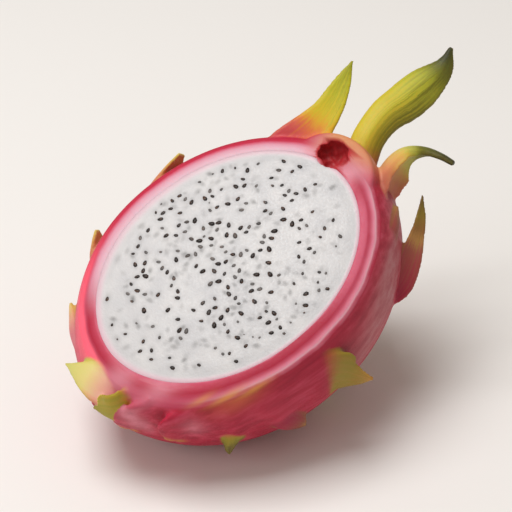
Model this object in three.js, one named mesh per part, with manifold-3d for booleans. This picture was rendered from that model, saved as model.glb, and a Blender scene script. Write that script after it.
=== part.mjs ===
// Dragon fruit, cut lengthwise a little above its axis, lying on a small flat spot with the crown raised.
// Two solids: the rind with its scales and crown bracts, and the white flesh with its seeds.
// Millimetres. The exported group is the row frame: +Z up, +X along the fruit towards the crown.
// The solids are shaped in the fruit frame, which the fruit group turns into the resting pose:
// +X along the fruit's axis towards the crown, +Z out of the cut face, origin at the middle of the cut.

import * as THREE from 'three';
import { mergeVertices } from 'three/addons/utils/BufferGeometryUtils.js';
import Module from 'manifold-3d';

const wasm = await Module();
wasm.setup();

// Driving dimensions of the fruit.
const BODY_LENGTH = 120;
const BODY_WIDTH = 90.4;
const CUT_ABOVE_AXIS = 20.3;
const RIND_THICKNESS = 5.3;
const SOLID_GAP = 0.3;

// How it lies: the axis rises to the crown, the cut face rolls to one side, the belly is pressed flat.
const CROWN_RISE = THREE.MathUtils.degToRad(24.7);
const FACE_ROLL = THREE.MathUtils.degToRad(19.1);
const FLAT_SPOT_DEPTH = 3;

// The skin's profile along the axis, as a superellipse that is a little fuller towards the stem end.
const PROFILE_POWER = 2.13;
const PROFILE_ROUND = 1.66;
const STEM_FULLNESS = 0.02;

// The cut face: the rind's outer edge droops, its inner edge and the flesh stand a little proud.
// A ring of it is [distance in from the edge, height]. The rind's hollow is open upwards.
const EDGE_DROOP = 0.8;
const FACE_LIP = 0.9;
const FLESH_CROWN = 1.5;
const RIND_TOP = [[1.6, 0.1], [4.4, FACE_LIP]];
const FLESH_TOP = [[0, FACE_LIP], [5, FACE_LIP + 0.4 * FLESH_CROWN], [15, FACE_LIP + 0.8 * FLESH_CROWN]];
const OPEN_HEIGHT = 8;

// The crown's shoulder, and the dark navel hollow in it, as ellipsoids [centre, radii].
const SHOULDER = [[45, 4, -8], [14, 16.5, 16]];
const NAVEL = [[49, 8, -2.4], [5.9, 5.9, 8]];
const NAVEL_WALL = 1.3;

// How far the skin swells behind a scale.
const SWELLING_HEIGHT = 1.2;

// Least thickness of a scale or bract.
const THINNEST = 0.7;

// Facets.
const COLUMNS = 48;
const SKIN_ROWS = 15;
const INNER_ROWS = 6;
const SCALE_SIDES = 6;
const BRACT_SIDES = 8;
const ELLIPSOID_SIDES = 20;

const SKIN_PINK = 0xc23a5a;
const FLESH_WHITE = 0xe6e4e2;

const { sin, cos, PI, hypot, atan2, abs, exp } = Math;
const deg = THREE.MathUtils.degToRad;

// Scales on the skin: the way from the root to the tip, each place on it a station, which is the distance
// from the fruit's middle towards the crown, the degrees round the axis from straight below and the height
// off the skin. Then half the width at even steps along it.
const SCALES = [
  {
    way: [[-4, -95, -4], [3, -94, -0.6], [8.6, -90, 2.7], [13.4, -89.5, 8.2]],
    halfWidths: [10, 13, 12, 9.4, 5.8, 0.5],
  },
  {
    way: [[-50, -138, -3.6], [-53.2, -157, -0.4], [-56.4, -183, 5], [-59.2, -215.4, 12]],
    halfWidths: [3.4, 6, 6.5, 5, 2.6, 0.4],
  },
  {
    way: [[-42, -128, -3.6], [-46, -121, -2.3], [-52, -108, -1.3], [-56.5, -88, -0.2]],
    halfWidths: [6, 9.5, 11, 10.5, 8, 3],
  },
  {
    way: [[-33, -114, -3.6], [-37.5, -107, -2.3], [-43.5, -97, -1.2], [-47.5, -90, -0.1]],
    halfWidths: [7, 11, 12.5, 12, 9, 3.5],
  },
  {
    way: [[-30, -96, -3.6], [-32, -88, 0], [-34.5, -77, 1.6], [-36, -67, 3.5]],
    halfWidths: [1.8, 3, 3.2, 2.4, 1.4, 0.4],
  },
  {
    way: [[-18, -93, -3.6], [-16, -86, 0], [-13, -76, 1.2], [-10.6, -66, 2.6]],
    halfWidths: [2.4, 4, 4.2, 3.6, 2.2, 0.5],
  },
  {
    way: [[43, -117, -3.6], [48, -117, -0.5], [52, -117, 0.3], [55, -117, 1.2]],
    halfWidths: [1.2, 2.2, 2.4, 2.2, 1.5, 0.4],
  },
  {
    way: [[-8, 95, -3.6], [-1, 98, 0], [6, 102, 1.8], [13.4, 106, 4.3]],
    halfWidths: [4, 7, 7.4, 6.8, 5.2, 2.4],
  },
  {
    way: [[-33, 98, -3.6], [-30, 100, 0], [-27, 103, 1.9], [-24.3, 105, 4]],
    halfWidths: [2.6, 4.6, 5, 4.6, 3.6, 1.6],
  },
  {
    way: [[-53, 120, -3.6], [-51, 118, 0], [-48.5, 115, 1.2], [-46, 112, 2.6]],
    halfWidths: [2.2, 4, 4.4, 4, 2.8, 1],
  },
];

const SCALE_ROOT_DEPTH = 3.6;
const SCALE_THICKNESS = 3.4;
const SCALE_CUP = 0.16;

// The rest stand in staggered rows round the belly and the far side, clear of the flat spot.
const ROW_STATIONS = [-36, -19, -2, 15, 32, 46];
const ROW_ANGLES = [-40, 10, 60];
const ROW_STAGGER = 25;
const ROW_LENGTH = 14;
const ROW_WIDTHS = [4.2, 7.2, 7.3, 6, 3.4, 0.6];
const FLAT_SPOT_PLACE = [-24, -19];
const FLAT_SPOT_CLEARANCE = 21;

// The long bracts at the crown and the one on its shoulder, thick-rooted and narrowing to a point: the spine
// from the root to the tip, the way across the blade, half its width at even steps along it, how far its
// edges are cupped, the same all along or at each step, and how far one side of it folds away.
const BRACTS = [
  {
    spine: [[33, 25, -9], [40, 23, -6], [47, 21.6, -4], [57, 23, -2.9], [65.5, 26.3, -1.8],
      [75.7, 31.1, 0.1]],
    across: [0.6, -0.75, -0.2],
    halfWidths: [5, 7, 7.2, 6.4, 5.1, 4.1, 2.6, 0.4],
    thickness: 3.4,
    cup: 0.12,
    fold: 0,
  },
  {
    spine: [[54, 3, -10], [62, 8, -7], [72, 10.7, -5.8], [80.5, 10.7, -6.2], [89, 11, -6.4],
      [98, 11.9, -6.8], [104.4, 15.2, -5.3]],
    across: [0.12, -0.95, -0.25],
    halfWidths: [5, 5.4, 5.5, 6, 6.7, 6.2, 3.9, 0.8],
    thickness: 3.8,
    cup: -0.2,
    fold: 0.7,
  },
  {
    spine: [[49.5, -8.7, -13], [55.1, -8, -11.5], [59.6, -5.6, -10.2], [64, -4.4, -9.1], [69, -4.5, -9.1],
      [73.4, -7.4, -9.4], [76, -12.5, -8.7], [77.4, -17, -9]],
    across: [0.53, 0.14, -0.97],
    halfWidths: [4.4, 5.2, 6.6, 8.2, 8, 6, 3.6, 2.4, 1.5],
    thickness: 5.2,
    cup: [0.9, 0.85, 0.8, 0.7, 0.6, 0.4, 0.2, 0.05, 0],
    fold: 0,
  },
  {
    spine: [[32, -30, -26], [40, -31, -25], [46.8, -28.6, -23], [54, -24.4, -20.3], [58.6, -21.6, -17.6],
      [64.6, -16.2, -14.8]],
    across: [0.6, -0.6, -0.5],
    halfWidths: [4, 5, 4.6, 3.8, 2.7, 1.7, 0.4],
    thickness: 2.8,
    cup: 0.3,
    fold: 0,
  },
  {
    spine: [[-49.4, -14.4, -5.4], [-53, -13.6, -5.2], [-56.8, -12.5, -4.8], [-60.4, -6.8, -7.7]],
    across: [-0.4, 0.05, -0.91],
    halfWidths: [5, 7.8, 7.6, 5.6, 3.2, 0.4],
    thickness: 2.8,
    cup: 0.2,
    fold: 0,
  },
];

// Seeds: the half length, half width and half height of one, the least distance between two, and the band
// inside the rind and round the navel that has none.
const SEED_TRIES = 2600;
const SEED_COUNT = 220;
const SEED_SIZE = [1.3, 0.8, 0.65];
const SEED_SPACING = 2.1;
const SEED_MARGIN = 3;

const scales = [...SCALES, ...rowScales()];

// A closed solid lofted through rings of points, capped by a middle point at each end.
function loft(rings) {
  const sides = rings[0].length;
  const points = rings.flat();
  const ends = [rings[0], rings[rings.length - 1]].map((ring) =>
    ring.reduce((sum, point) => sum.add(point), new THREE.Vector3()).divideScalar(sides));
  const index = [];
  rings.slice(1).forEach((ring, r) => {
    for (let i = 0; i < sides; i += 1) {
      const j = (i + 1) % sides;
      const [a, b] = [r * sides + i, r * sides + j];
      index.push(a, b, b + sides, a, b + sides, a + sides);
    }
  });
  const last = (rings.length - 1) * sides;
  for (let i = 0; i < sides; i += 1) {
    const j = (i + 1) % sides;
    index.push(j, i, points.length, last + i, last + j, points.length + 1);
  }
  const geometry = new THREE.BufferGeometry().setFromPoints([...points, ...ends]);
  geometry.setIndex(index);
  return signedVolume(geometry) < 0 ? turnedInsideOut(geometry) : geometry;
}

function signedVolume(geometry) {
  const { index, attributes: { position } } = geometry;
  const corner = [0, 1, 2].map(() => new THREE.Vector3());
  let volume = 0;
  for (let i = 0; i < index.count; i += 3) {
    corner.forEach((point, k) => point.fromBufferAttribute(position, index.getX(i + k)));
    volume += corner[0].dot(corner[1].cross(corner[2]));
  }
  return volume;
}

function turnedInsideOut(geometry) {
  geometry.setIndex([...geometry.index.array].reverse());
  return geometry;
}

function solid(geometry) {
  const shape = geometry.clone();
  shape.deleteAttribute('normal');
  shape.deleteAttribute('uv');
  const merged = mergeVertices(shape, 1e-4);
  const vertProperties = new Float32Array(merged.attributes.position.array);
  const triVerts = new Uint32Array(merged.index.array);
  return new wasm.Manifold(new wasm.Mesh({ numProp: 3, vertProperties, triVerts }));
}

function meshOf(name, shape, color, roughness) {
  const { vertProperties, triVerts } = shape.getMesh();
  const geometry = new THREE.BufferGeometry();
  geometry.setAttribute('position', new THREE.BufferAttribute(vertProperties, 3));
  geometry.setIndex(new THREE.BufferAttribute(triVerts, 1));
  geometry.computeVertexNormals();
  const mesh = new THREE.Mesh(geometry, new THREE.MeshStandardMaterial({ color, roughness, metalness: 0 }));
  mesh.name = name;
  return mesh;
}

function ellipsoid([centre, radii], grow = 0) {
  const geometry = new THREE.SphereGeometry(1, ELLIPSOID_SIDES, ELLIPSOID_SIDES / 2);
  geometry.scale(...radii.map((radius) => radius + grow));
  return solid(geometry.translate(...centre));
}

// Radius of the body round its axis at a station, drawn in by an inset.
function bodyRadius(station, inset) {
  const along = station / (BODY_LENGTH / 2 - inset);
  if (abs(along) >= 1) return 0;
  const profile = (1 - abs(along) ** PROFILE_POWER) ** (1 / PROFILE_ROUND);
  return (BODY_WIDTH / 2 - inset) * profile * (1 - STEM_FULLNESS * along);
}

// The skin swells behind each scale's root.
function swelling(station, angle) {
  return scales.reduce((sum, { way, halfWidths }) => {
    const [root, tip] = [way[1], way[3]];
    const spread = 0.9 * Math.max(...halfWidths);
    const radius = bodyRadius(root[0], 0);
    const [ahead, round] = [tip[0] - root[0], arc(root[1], tip[1], radius)];
    const length = hypot(ahead, round);
    const [east, north] = [station - root[0], arc(root[1], angle, radius)];
    const along = (east * ahead + north * round) / length;
    const across = (east * round - north * ahead) / length;
    const nearness = ((along + 0.2 * length) / (0.6 * length)) ** 2 + (across / spread) ** 2;
    return sum + SWELLING_HEIGHT * exp(-nearness);
  }, 0);
}

// Length of skin between two angles round the axis.
function arc(from, to, radius) {
  return deg(((to - from + 540) % 360) - 180) * radius;
}

// Distance from the middle of the cut to the body's surface, in a direction below the cut.
function reach(direction, inset) {
  let [near, far] = [0, BODY_LENGTH];
  for (let step = 0; step < 40; step += 1) {
    const middle = (near + far) / 2;
    const { x, y, z } = direction.clone().multiplyScalar(middle);
    const depth = z + CUT_ABOVE_AXIS;
    const relief = inset > 0 ? 0 : swelling(x, THREE.MathUtils.radToDeg(atan2(y, -depth)));
    if (hypot(y, depth) < bodyRadius(x, inset) + relief) near = middle;
    else far = middle;
  }
  return near;
}

// The body up to an edge just below the cut, drawn in by an inset, and closed by rings across the top.
function cutBody({ inset, rows, lowestTop, top, middle }) {
  const steps = Array.from({ length: rows }, (_, r) => (r + 1) / rows);
  const turns = Array.from({ length: COLUMNS }, (_, c) => (c / COLUMNS) * 2 * PI);
  const pointAt = (fall, turn) => {
    const direction = new THREE.Vector3(sin(fall) * cos(turn), sin(fall) * sin(turn), -cos(fall));
    return direction.clone().multiplyScalar(reach(direction, inset));
  };
  const lower = steps.map((step) => turns.map((turn) => pointAt(step * deg(90 - lowestTop), turn)));
  const edges = turns.map((turn) => hypot(pointAt(deg(90), turn).x, pointAt(deg(90), turn).y));
  const ring = (inwards, height) => turns.map((turn, c) =>
    new THREE.Vector3(cos(turn) * (edges[c] - inwards), sin(turn) * (edges[c] - inwards), height));
  const upper = top.map(([inwards, height]) => ring(inwards, height));
  const centre = turns.map((turn) => new THREE.Vector3(cos(turn), sin(turn), middle));
  return loft([...lower, ...upper, centre]);
}

// A leaf-like blade along a spine, cupped across its width, with rounded edges.
function blade({ spine, across, halfWidths, thickness, cup, fold }, sides) {
  const points = spine.map((point) => new THREE.Vector3(...point));
  const curve = new THREE.CatmullRomCurve3(points, false, 'centripetal');
  const steps = halfWidths.length - 1;
  const widest = Math.max(...halfWidths);
  const rings = halfWidths.map((half, step) => {
    const along = step / steps;
    const middle = curve.getPointAt(along);
    const forward = curve.getTangentAt(along);
    const side = new THREE.Vector3(...across).projectOnPlane(forward).normalize();
    const face = new THREE.Vector3().crossVectors(side, forward);
    const thick = Math.max(thickness * (1 - 0.65 * along), THINNEST);
    const bend = cup[step] ?? cup;
    return Array.from({ length: sides }, (_, i) => {
      const turn = (i / sides) * 2 * PI;
      const wide = cos(turn) * half;
      const cupped = bend * (half * cos(turn) ** 2 - widest * 0.3);
      const folded = fold * (1 - 0.5 * along) * half * Math.max(0, cos(turn) - 0.1);
      const high = sin(turn) * thick * 0.5 + cupped - folded;
      return middle.clone().addScaledVector(side, wide).addScaledVector(face, high);
    });
  });
  return solid(loft(rings));
}

// A point over the skin.
function overSkin(station, angle, height) {
  const radius = bodyRadius(station, 0) + height;
  return new THREE.Vector3(station, radius * sin(deg(angle)), -CUT_ABOVE_AXIS - radius * cos(deg(angle)));
}

// A scale runs from a root under the skin to a free tip, wider than long, and curls away from the skin.
function scaleBlade({ way, halfWidths }) {
  const spine = way.map((place) => overSkin(...place));
  const [station, angle] = way[1];
  const outwards = overSkin(station, angle, 5).sub(overSkin(station, angle, 0));
  const across = new THREE.Vector3().crossVectors(outwards, spine[1].clone().sub(spine[0]));
  return blade({
    spine: spine.map((point) => point.toArray()),
    across: across.toArray(),
    halfWidths,
    thickness: SCALE_THICKNESS,
    cup: SCALE_CUP,
    fold: 0,
  }, SCALE_SIDES);
}

// The scales of the staggered rows, without those that would meet the flat spot.
function rowScales() {
  const places = ROW_STATIONS.flatMap((station, row) =>
    ROW_ANGLES.map((angle) => [station, angle + (row % 2) * ROW_STAGGER]));
  return places.filter(([station, angle]) => {
    const across = arc(FLAT_SPOT_PLACE[1], angle, BODY_WIDTH / 2);
    return hypot(station - FLAT_SPOT_PLACE[0], across) > FLAT_SPOT_CLEARANCE;
  }).map(([station, angle]) => ({
    way: [
      [station - 5, angle, -SCALE_ROOT_DEPTH],
      [station, angle, 0],
      [station + ROW_LENGTH / 2, angle, 1.4],
      [station + ROW_LENGTH, angle, 3.5],
    ],
    halfWidths: ROW_WIDTHS,
  }));
}

// A repeatable stream of random numbers between 0 and 1.
function randomStream(seed) {
  let state = seed;
  return () => {
    state = (state * 1664525 + 1013904223) % 4294967296;
    return state / 4294967296;
  };
}

function fleshEdge(turn) {
  return reach(new THREE.Vector3(cos(turn), sin(turn), 0), RIND_THICKNESS + SOLID_GAP);
}

// Height of the crowned flesh at a distance in from its edge.
function fleshHeight(inwards, edge) {
  const rings = [...FLESH_TOP, [edge - 1, FACE_LIP + FLESH_CROWN], [edge, FACE_LIP + FLESH_CROWN]];
  const next = rings.findIndex(([distance]) => distance > inwards);
  const [[a, low], [b, high]] = [rings[next - 1], rings[next]];
  return low + (high - low) * (inwards - a) / (b - a);
}

// Seeds lie at random angles in the cut face, closer together towards its middle.
function seeds() {
  const random = randomStream(7);
  const placed = [];
  const shapes = [];
  for (let go = 0; go < SEED_TRIES && placed.length < SEED_COUNT; go += 1) {
    const turn = random() * 2 * PI;
    const edge = fleshEdge(turn);
    const out = random() ** 0.62 * (edge - SEED_MARGIN);
    const [x, y] = [cos(turn) * out, sin(turn) * out];
    const inNavel = hypot(x - NAVEL[0][0], y - NAVEL[0][1]) < NAVEL[1][0] + SEED_MARGIN + NAVEL_WALL;
    const crowded = placed.some(([a, b]) => hypot(a - x, b - y) < SEED_SPACING);
    if (inNavel || crowded) continue;
    placed.push([x, y]);
    const seed = new THREE.OctahedronGeometry(1, 0);
    const size = 0.85 + 0.3 * random();
    seed.scale(SEED_SIZE[0] * size, SEED_SIZE[1] * size, SEED_SIZE[2]);
    seed.rotateZ(random() * PI);
    seed.translate(x, y, fleshHeight(edge - out, edge));
    shapes.push(solid(seed));
  }
  return shapes;
}

const join = (shapes) => shapes.reduce((whole, shape) => whole.add(shape));

const skinSolid = solid(cutBody({
  inset: 0,
  rows: SKIN_ROWS,
  lowestTop: THREE.MathUtils.radToDeg(EDGE_DROOP / (BODY_WIDTH / 2)),
  top: RIND_TOP,
  middle: FACE_LIP,
}));
const hollow = solid(cutBody({
  inset: RIND_THICKNESS,
  rows: INNER_ROWS,
  lowestTop: 0,
  top: [[0, OPEN_HEIGHT]],
  middle: OPEN_HEIGHT,
}));
const pulp = solid(cutBody({
  inset: RIND_THICKNESS + SOLID_GAP,
  rows: INNER_ROWS,
  lowestTop: 0,
  top: FLESH_TOP,
  middle: FACE_LIP + FLESH_CROWN,
}));

const aboveFace = new THREE.BoxGeometry(60, 60, 20).translate(45, 4, 10 - 0.2);
const shoulder = ellipsoid(SHOULDER).subtract(solid(aboveFace));
const blades = scales.map(scaleBlade);
const bracts = BRACTS.map((bract) => blade(bract, BRACT_SIDES));

// The fruit's pose, and the floor under it as a block in the fruit frame.
const fruit = new THREE.Group();
fruit.rotation.set(FACE_ROLL, -CROWN_RISE, 0, 'YXZ');
fruit.updateMatrixWorld(true);

function lowestPoint(shape) {
  const { vertProperties } = shape.getMesh();
  let lowest = Infinity;
  for (let i = 0; i < vertProperties.length; i += 3) {
    const point = new THREE.Vector3().fromArray(vertProperties, i).applyMatrix4(fruit.matrixWorld);
    lowest = Math.min(lowest, point.z);
  }
  return lowest;
}

fruit.position.z = -lowestPoint(skinSolid) - FLAT_SPOT_DEPTH;
fruit.updateMatrixWorld(true);
const floorBlock = new THREE.BoxGeometry(400, 400, 100).translate(0, 0, -50);
floorBlock.applyMatrix4(fruit.matrixWorld.clone().invert());

const rindSolid = join([skinSolid, shoulder])
  .subtract(hollow.subtract(ellipsoid(NAVEL, NAVEL_WALL)))
  .add(join([...blades, ...bracts]).subtract(hollow))
  .subtract(ellipsoid(NAVEL))
  .subtract(solid(floorBlock));
const fleshSolid = join([pulp, ...seeds()]).subtract(ellipsoid(NAVEL, NAVEL_WALL + SOLID_GAP));

fruit.add(meshOf('rind', rindSolid, SKIN_PINK, 0.45));
fruit.add(meshOf('flesh', fleshSolid, FLESH_WHITE, 0.35));

// The origin is the middle of the footprint of the whole fruit.
const row = new THREE.Group();
row.add(fruit);
row.updateMatrixWorld(true);
const box = new THREE.Box3().setFromObject(row, true);
fruit.position.x -= (box.min.x + box.max.x) / 2;
fruit.position.y -= (box.min.y + box.max.y) / 2;

export default row;
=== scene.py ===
from math import atan2, copysign, cos, hypot, pi, radians, sin

import bmesh
import bpy
import numpy as np
from mathutils import Matrix, Vector, noise
from mathutils.bvhtree import BVHTree


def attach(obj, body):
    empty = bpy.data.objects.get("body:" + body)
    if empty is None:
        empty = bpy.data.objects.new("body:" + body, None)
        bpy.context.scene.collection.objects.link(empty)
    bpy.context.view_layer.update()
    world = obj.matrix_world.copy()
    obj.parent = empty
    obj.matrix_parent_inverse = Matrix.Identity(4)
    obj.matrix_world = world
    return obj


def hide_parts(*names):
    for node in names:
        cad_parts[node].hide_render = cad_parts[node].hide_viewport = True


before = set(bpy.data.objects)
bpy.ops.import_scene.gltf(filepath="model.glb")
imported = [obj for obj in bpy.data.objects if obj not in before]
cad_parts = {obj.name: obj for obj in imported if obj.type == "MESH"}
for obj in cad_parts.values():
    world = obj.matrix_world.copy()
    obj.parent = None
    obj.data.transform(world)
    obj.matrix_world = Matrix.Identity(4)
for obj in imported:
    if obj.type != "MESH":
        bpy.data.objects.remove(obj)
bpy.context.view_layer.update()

# ------------------------------------------------------------------------------------------------
# The fruit's frame: a dragon fruit cut lengthwise a little above its axis, shaped in millimetres
# with +X along its axis to the crown and +Z out of the cut face. It lies with the crown raised and
# the face rolled to one side, so the frame is turned and set down where the CAD bodies stand.

CROWN_RISE = radians(24.7)
FACE_ROLL = radians(19.1)
CUT_MIDDLE = Vector((-20.839, -5.681, 62.436))
MM = 0.001

fruit_to_world = (
    Matrix.Scale(MM, 4)
    @ Matrix.Translation(CUT_MIDDLE)
    @ Matrix.Rotation(-CROWN_RISE, 4, "Y")
    @ Matrix.Rotation(FACE_ROLL, 4, "X")
)

# ------------------------------------------------------------------------------------------------
# The studio: a plain pale floor, a large soft light overhead, a weak one at the left, a pale
# surrounding, and a long lens that looks down on the cut face.

LOOK_DOWN = radians(35)
LOOK_FROM_LEFT = radians(30.7)
LENS_ANGLE = radians(20)
STAND_OFF = Vector((8.5, 2.2, 456.1))
FLOOR_HALF_WIDTH = 4
NEARLY_WHITE = (0.99, 0.99, 0.985)

lens = bpy.data.cameras.new("camera")
lens.lens_unit = "FOV"
lens.angle = LENS_ANGLE
lens.clip_start, lens.clip_end = 0.01, 20
camera = bpy.data.objects.new("camera", lens)
turned = Matrix.Rotation(-LOOK_FROM_LEFT, 4, "Z") @ Matrix.Rotation(pi / 2 - LOOK_DOWN, 4, "X")
camera.matrix_world = Matrix.Translation((CUT_MIDDLE + turned @ STAND_OFF) * MM) @ turned
bpy.context.collection.objects.link(camera)
bpy.context.scene.camera = camera
bpy.context.scene.view_settings.view_transform = "Standard"


def soft_light(name, way, distance, size, power):
    """A square area light that faces the fruit, from a way in the camera's left, back and up."""
    turned_way = Matrix.Rotation(-LOOK_FROM_LEFT, 3, "Z") @ Vector((-way[0], way[1], way[2]))
    turned_way.normalize()
    lamp = bpy.data.lights.new(name, "AREA")
    lamp.size = size
    lamp.energy = power
    lamp.color = NEARLY_WHITE
    light = bpy.data.objects.new(name, lamp)
    light.location = turned_way * distance
    light.rotation_mode = "QUATERNION"
    light.rotation_quaternion = turned_way.to_track_quat("Z", "Y")
    bpy.context.collection.objects.link(light)


soft_light("overhead light", (0.25, -0.04, 1), 1.4, 0.7, 14.2)
soft_light("side light", (1.1, -0.6, 0.7), 1.4, 0.8, 3.6)

world = bpy.data.worlds.new("pale surrounding")
world.use_nodes = True
surrounding = world.node_tree.nodes["Background"]
surrounding.inputs["Color"].default_value = (1.0, 0.94, 0.85, 1)
surrounding.inputs["Strength"].default_value = 0.33
bpy.context.scene.world = world

floor_shape = bmesh.new()
bmesh.ops.create_grid(floor_shape, x_segments=1, y_segments=1, size=FLOOR_HALF_WIDTH)
floor_mesh = bpy.data.meshes.new("floor")
floor_shape.to_mesh(floor_mesh)
floor_shape.free()
floor = bpy.data.objects.new("floor", floor_mesh)
bpy.context.collection.objects.link(floor)
paper = bpy.data.materials.new("pale paper")
paper.use_nodes = True
paper_shader = paper.node_tree.nodes["Principled BSDF"]
paper_shader.inputs["Base Color"].default_value = (0.86, 0.835, 0.815, 1)
paper_shader.inputs["Roughness"].default_value = 0.9
paper_shader.inputs["Specular IOR Level"].default_value = 0.1
floor_mesh.materials.append(paper)

# ------------------------------------------------------------------------------------------------
# The rind: one leathery pink skin about 5 mm thick, cut off flat round the flesh. Scales with green
# tips grow out of it, and at the crown they lengthen to pointed bracts round a dark red navel, where
# the flower was. It is grown together from a body, scales and bracts, and then cut.

BODY_LENGTH = 120
BODY_WIDTH = 90.4
CUT_ABOVE_AXIS = 20.3
RIND_THICKNESS = 5.3
STEM_FULLNESS = 0.02
PROFILE_POWER = 2.13
PROFILE_ROUND = 1.66
EDGE_DROOP = 0.9
FACE_LIP = 0.9
FACE_RINGS = ((0.4, -0.35), (1.1, 0.22), (1.9, 0.2), (2.6, 0.62), (4.4, FACE_LIP), (7, FACE_LIP))
HOLLOW_RINGS = ((0, 12), (8, 12))
VOXEL = 0.48
CREASE_ANGLE = -0.12
HALVINGS = 30
MOST_TRIANGLES = 190000
NEEDLE = 0.01
GROUND = Vector((400, 400, 100))

# Scales: the way from root to tip as [station along the axis, degrees round it from straight below,
# height off the skin], half the width at even steps, the leaf colours they show from root to tip, how
# dry they are, how milky their middle is and, for some, how much of them is still bare skin.
ROOT = -3.6
SCALES = [
    # the broad one below the cut
    dict(way=[(-4, -95, -4), (3, -94, -0.6), (8.6, -90, 2.7), (13.4, -89.5, 8.2)],
         half_widths=(10, 13, 12, 9.4, 5.8, 0.5), colours=(0.2, 0.44, 0.52, 0.46, 0.33),
         dry=0.75, milk=0.0, bare=0.27),
    # the pale one that curls up past the cut at the stem end
    dict(way=[(-50, -138, ROOT), (-53.2, -157, -0.4), (-56.4, -183, 5), (-59.2, -215.4, 12)],
         half_widths=(3.4, 6, 6.5, 5, 2.6, 0.4), colours=(-0.15, 0.15, 0.5, 0.66), dry=0.0, milk=0.9),
    # two lobes at the stem end that lie flush with the skin
    dict(way=[(-42, -128, ROOT), (-46, -121, -2.3), (-52, -108, -1.3), (-56.5, -88, -0.2)],
         half_widths=(6, 9.5, 11, 10.5, 8, 3), colours=(0, 0, 0.3), dry=0.5, milk=0.0, bare=0.78),
    dict(way=[(-33, -114, ROOT), (-37.5, -107, -2.3), (-43.5, -97, -1.2), (-47.5, -90, -0.1)],
         half_widths=(7, 11, 12.5, 12, 9, 3.5), colours=(0, 0, 0.3), dry=0.5, milk=0.0, bare=0.8),
    # small ones low on the near side
    dict(way=[(-30, -96, ROOT), (-32, -88, 0), (-34.5, -77, 1.6), (-36, -67, 3.5)],
         half_widths=(1.8, 3, 3.2, 2.4, 1.4, 0.4), colours=(0.3, 0.75, 0.7), dry=0.6, milk=0.0),
    dict(way=[(-18, -93, ROOT), (-16, -86, 0), (-13, -76, 1.2), (-10.6, -66, 2.6)],
         half_widths=(2.4, 4, 4.2, 3.6, 2.2, 0.5), colours=(-0.1, 0.1, 0.35), dry=1.0, milk=0.0),
    dict(way=[(43, -117, ROOT), (48, -117, -0.5), (52, -117, 0.3), (55, -117, 1.2)],
         half_widths=(1.2, 2.2, 2.4, 2.2, 1.5, 0.4), colours=(0.1, 0.18, 0.3), dry=1.0, milk=0.0),
    # small ones that show past the far edge of the cut
    dict(way=[(-8, 95, ROOT), (-1, 98, 0), (6, 102, 1.8), (13.4, 106, 4.3)],
         half_widths=(4, 7, 7.4, 6.8, 5.2, 2.4), colours=(-0.3, 0.06, 0.25, 0.42), dry=0.2, milk=0.6),
    dict(way=[(-33, 98, ROOT), (-30, 100, 0), (-27, 103, 1.9), (-24.3, 105, 4)],
         half_widths=(2.6, 4.6, 5, 4.6, 3.6, 1.6), colours=(-0.2, 0.1, 0.25, 0.4), dry=0.2, milk=0.6),
    dict(way=[(-53, 120, ROOT), (-51, 118, 0), (-48.5, 115, 1.2), (-46, 112, 2.6)],
         half_widths=(2.2, 4, 4.4, 4, 2.8, 1), colours=(-0.3, 0.1, 0.38), dry=0.2, milk=0.6),
]
SCALE_THICKNESS = 3.4
SCALE_CUP = 0.16

# The other scales stand in staggered rows round the belly and the far side, clear of the flat spot.
# The skin swells behind the root of each scale, over shares of the scale's own length and width.
ROW_STATIONS = (-36, -19, -2, 15, 32, 46)
ROW_ANGLES = (-40, 10, 60)
ROW_STAGGER = 25
ROW_LENGTH = 14
FLAT_SPOT_PLACE = (-24, -19)
FLAT_SPOT_CLEARANCE = 21
SWELLING_HEIGHT = 1.2
SWELLING_BEHIND = 0.2
SWELLING_LENGTH = 0.6
SWELLING_WIDTH = 0.9


def arc(start, end, radius):
    """Length of skin between two angles round the axis."""
    return np.radians((end - start + 540) % 360 - 180) * radius


for row, station in enumerate(ROW_STATIONS):
    for start in ROW_ANGLES:
        angle = start + row % 2 * ROW_STAGGER
        across = arc(FLAT_SPOT_PLACE[1], angle, BODY_WIDTH / 2)
        if hypot(station - FLAT_SPOT_PLACE[0], across) > FLAT_SPOT_CLEARANCE:
            SCALES.append(dict(
                way=[(station - 5, angle, ROOT), (station, angle, 0),
                     (station + ROW_LENGTH / 2, angle, 1.4), (station + ROW_LENGTH, angle, 3.5)],
                half_widths=(4.2, 7.2, 7.3, 6, 3.4, 0.6), colours=(-0.2, 0.1, 0.5, 0.8),
                dry=0.3, milk=0.25))

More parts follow.
